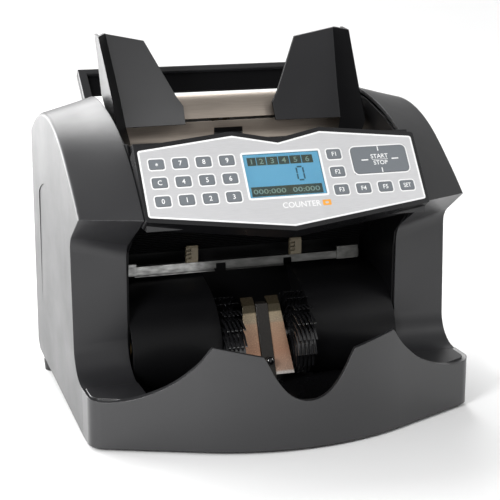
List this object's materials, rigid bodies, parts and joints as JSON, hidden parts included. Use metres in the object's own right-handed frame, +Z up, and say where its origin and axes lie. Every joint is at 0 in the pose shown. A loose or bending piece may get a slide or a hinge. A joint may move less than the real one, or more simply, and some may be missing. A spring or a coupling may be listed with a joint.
{
  "type": "banknote counting machine",
  "caption": "Front-feed banknote counter: leaning hopper with sliding guides, sloping keypad and display panel, stacker pocket with curved lip and folding handle.",
  "frame": {"origin": "on the surface the rubber feet stand on, under the middle of the bounding box", "axes": "+X across the machine to the operator's right, -Y towards the operator (front), +Z up"},
  "size_m": [0.297, 0.27, 0.2779],
  "materials": {
    "housing_plastic": "satin charcoal grey, fine texture",
    "dark_plastic": "satin black",
    "guide_plastic": "satin dark grey",
    "finger_plastic": "flexible black",
    "silver_plate": "fine satin",
    "key_plastic": "satin grey",
    "clear_window": "clear gloss",
    "display_glass": "lit light blue",
    "circuit_board": "green lacquer",
    "hopper_steel": "brushed, bronze tint",
    "zinc_steel": "zinc plated",
    "black_steel": "black",
    "copper_strip": "polished copper tint",
    "tan_plastic": "satin tan",
    "shaft_steel": "ground",
    "bronze_bush": "sintered",
    "belt_rubber": "matte"
  },
  "bodies": {
    "case": {"base_tray": "housing_plastic", "case_screws": "zinc_steel", "centre_strips": "copper_strip", "control_plate": "silver_plate", "display_module": "display_glass", "display_window": "clear_window", "drive_belts": "belt_rubber", "drive_motor": "zinc_steel", "exit_bar": "zinc_steel", "hopper_lower_plate": "hopper_steel", "hopper_upper_plate": "hopper_steel", "keypad_board": "circuit_board", "left_drum_cover": "dark_plastic", "left_frame_plate": "black_steel", "left_side_cover": "housing_plastic", "main_board": "circuit_board", "panel_housing": "dark_plastic", "pinch_holders": "tan_plastic", "pocket_floor": "dark_plastic", "power_inlet": "dark_plastic", "power_supply": "zinc_steel", "rack_bracket": "zinc_steel", "rear_cover": "dark_plastic", "right_drum_cover": "dark_plastic", "right_frame_plate": "black_steel", "right_side_cover": "housing_plastic", "rubber_feet": "belt_rubber", "shaft_bearings": "bronze_bush", "throat_baffle": "dark_plastic", "tie_rods": "zinc_steel"},
    "handle": {"carry_handle": "guide_plastic"},
    "guide_left": {"left_hopper_guide": "guide_plastic"},
    "guide_right": {"right_hopper_guide": "guide_plastic"},
    "pinion": {"guide_pinion": "tan_plastic"},
    "feed_shaft": {"feed_roller_shaft": "shaft_steel"},
    "count_shaft": {"count_roller_shaft": "shaft_steel"},
    "stacker": {"stacker_shaft": "shaft_steel", "stacker_wheels": "finger_plastic"},
    "motor_rotor": {"motor_pulley": "shaft_steel"},
    "rocker": {"power_switch": "dark_plastic"},
    "gap_screw": {"gap_knob": "dark_plastic"},
    "key_0_cap": {"key_0": "key_plastic"},
    "key_1_cap": {"key_1": "key_plastic"},
    "key_2_cap": {"key_2": "key_plastic"},
    "key_3_cap": {"key_3": "key_plastic"},
    "key_4_cap": {"key_4": "key_plastic"},
    "key_5_cap": {"key_5": "key_plastic"},
    "key_6_cap": {"key_6": "key_plastic"},
    "key_7_cap": {"key_7": "key_plastic"},
    "key_8_cap": {"key_8": "key_plastic"},
    "key_9_cap": {"key_9": "key_plastic"},
    "key_clear_cap": {"key_clear": "key_plastic"},
    "key_f1_cap": {"key_f1": "key_plastic"},
    "key_f2_cap": {"key_f2": "key_plastic"},
    "key_f3_cap": {"key_f3": "key_plastic"},
    "key_f4_cap": {"key_f4": "key_plastic"},
    "key_f5_cap": {"key_f5": "key_plastic"},
    "key_set_cap": {"key_set": "key_plastic"},
    "key_star_cap": {"key_star": "key_plastic"},
    "key_start_stop_cap": {"key_start_stop": "key_plastic"}
  },
  "joints": [
    {"name": "motor_spin", "type": "hinge", "parent": "case", "child": "motor_rotor", "pos_m": [0.1, 0.06, 0.099], "axis": [1, 0, 0], "continuous": true},
    {"name": "count_spin", "type": "hinge", "parent": "case", "child": "count_shaft", "pos_m": [0, 0.029, 0.1325], "axis": [1, 0, 0], "continuous": true},
    {"name": "feed_spin", "type": "hinge", "parent": "case", "child": "feed_shaft", "pos_m": [0, 0.011, 0.1725], "axis": [1, 0, 0], "continuous": true},
    {"name": "stack_spin", "type": "hinge", "parent": "case", "child": "stacker", "pos_m": [0, -0.025, 0.0525], "axis": [1, 0, 0], "continuous": true},
    {"name": "handle_fold", "type": "hinge", "parent": "case", "child": "handle", "pos_m": [0, 0.088, 0.2011], "axis": [1, 0, 0], "range_deg": [-95, 40]},
    {"name": "left_guide_slide", "type": "slide", "parent": "case", "child": "guide_left", "axis": [1, 0, 0], "range_m": [-0.003, 0.03]},
    {"name": "right_guide_slide", "type": "slide", "parent": "case", "child": "guide_right", "axis": [-1, 0, 0], "range_m": [-0.003, 0.03]},
    {"name": "pinion_spin", "type": "hinge", "parent": "case", "child": "pinion", "pos_m": [0, 0.078, 0.2089], "axis": [0, 1, 0], "range_deg": [-30, 225]},
    {"name": "switch_rock", "type": "hinge", "parent": "case", "child": "rocker", "pos_m": [-0.0335, 0.102, 0.042], "axis": [1, 0, 0], "range_deg": [0, 16]},
    {"name": "gap_turn", "type": "hinge", "parent": "case", "child": "gap_screw", "pos_m": [0, 0.094, 0.198], "axis": [0, 0, 1], "range_deg": [-360, 360]},
    {"name": "key_0_press", "type": "slide", "parent": "case", "child": "key_0_cap", "axis": [0, 0.809, -0.5878], "range_m": [0, 0.0005], "stiffness_N_per_m": 1200},
    {"name": "key_1_press", "type": "slide", "parent": "case", "child": "key_1_cap", "axis": [0, 0.809, -0.5878], "range_m": [0, 0.0005], "stiffness_N_per_m": 1200},
    {"name": "key_2_press", "type": "slide", "parent": "case", "child": "key_2_cap", "axis": [0, 0.809, -0.5878], "range_m": [0, 0.0005], "stiffness_N_per_m": 1200},
    {"name": "key_3_press", "type": "slide", "parent": "case", "child": "key_3_cap", "axis": [0, 0.809, -0.5878], "range_m": [0, 0.0005], "stiffness_N_per_m": 1200},
    {"name": "key_4_press", "type": "slide", "parent": "case", "child": "key_4_cap", "axis": [0, 0.809, -0.5878], "range_m": [0, 0.0005], "stiffness_N_per_m": 1200},
    {"name": "key_5_press", "type": "slide", "parent": "case", "child": "key_5_cap", "axis": [0, 0.809, -0.5878], "range_m": [0, 0.0005], "stiffness_N_per_m": 1200},
    {"name": "key_6_press", "type": "slide", "parent": "case", "child": "key_6_cap", "axis": [0, 0.809, -0.5878], "range_m": [0, 0.0005], "stiffness_N_per_m": 1200},
    {"name": "key_7_press", "type": "slide", "parent": "case", "child": "key_7_cap", "axis": [0, 0.809, -0.5878], "range_m": [0, 0.0005], "stiffness_N_per_m": 1200},
    {"name": "key_8_press", "type": "slide", "parent": "case", "child": "key_8_cap", "axis": [0, 0.809, -0.5878], "range_m": [0, 0.0005], "stiffness_N_per_m": 1200},
    {"name": "key_9_press", "type": "slide", "parent": "case", "child": "key_9_cap", "axis": [0, 0.809, -0.5878], "range_m": [0, 0.0005], "stiffness_N_per_m": 1200},
    {"name": "key_clear_press", "type": "slide", "parent": "case", "child": "key_clear_cap", "axis": [0, 0.809, -0.5878], "range_m": [0, 0.0005], "stiffness_N_per_m": 1200},
    {"name": "key_f1_press", "type": "slide", "parent": "case", "child": "key_f1_cap", "axis": [0, 0.809, -0.5878], "range_m": [0, 0.0005], "stiffness_N_per_m": 1200},
    {"name": "key_f2_press", "type": "slide", "parent": "case", "child": "key_f2_cap", "axis": [0, 0.809, -0.5878], "range_m": [0, 0.0005], "stiffness_N_per_m": 1200},
    {"name": "key_f3_press", "type": "slide", "parent": "case", "child": "key_f3_cap", "axis": [0, 0.809, -0.5878], "range_m": [0, 0.0005], "stiffness_N_per_m": 1200},
    {"name": "key_f4_press", "type": "slide", "parent": "case", "child": "key_f4_cap", "axis": [0, 0.809, -0.5878], "range_m": [0, 0.0005], "stiffness_N_per_m": 1200},
    {"name": "key_f5_press", "type": "slide", "parent": "case", "child": "key_f5_cap", "axis": [0, 0.809, -0.5878], "range_m": [0, 0.0005], "stiffness_N_per_m": 1200},
    {"name": "key_set_press", "type": "slide", "parent": "case", "child": "key_set_cap", "axis": [0, 0.809, -0.5878], "range_m": [0, 0.0005], "stiffness_N_per_m": 1200},
    {"name": "key_star_press", "type": "slide", "parent": "case", "child": "key_star_cap", "axis": [0, 0.809, -0.5878], "range_m": [0, 0.0005], "stiffness_N_per_m": 1200},
    {"name": "key_start_stop_press", "type": "slide", "parent": "case", "child": "key_start_stop_cap", "axis": [0, 0.809, -0.5878], "range_m": [0, 0.0005], "stiffness_N_per_m": 1200}
  ],
  "couplings": [
    {"joint": "count_spin", "follows": "motor_spin", "ratio": 0.64286},
    {"joint": "feed_spin", "follows": "motor_spin", "ratio": 0.64286},
    {"joint": "stack_spin", "follows": "motor_spin", "ratio": 0.64286},
    {"joint": "right_guide_slide", "follows": "left_guide_slide", "ratio": 1},
    {"joint": "pinion_spin", "follows": "left_guide_slide", "rad_per_m": 125}
  ]
}
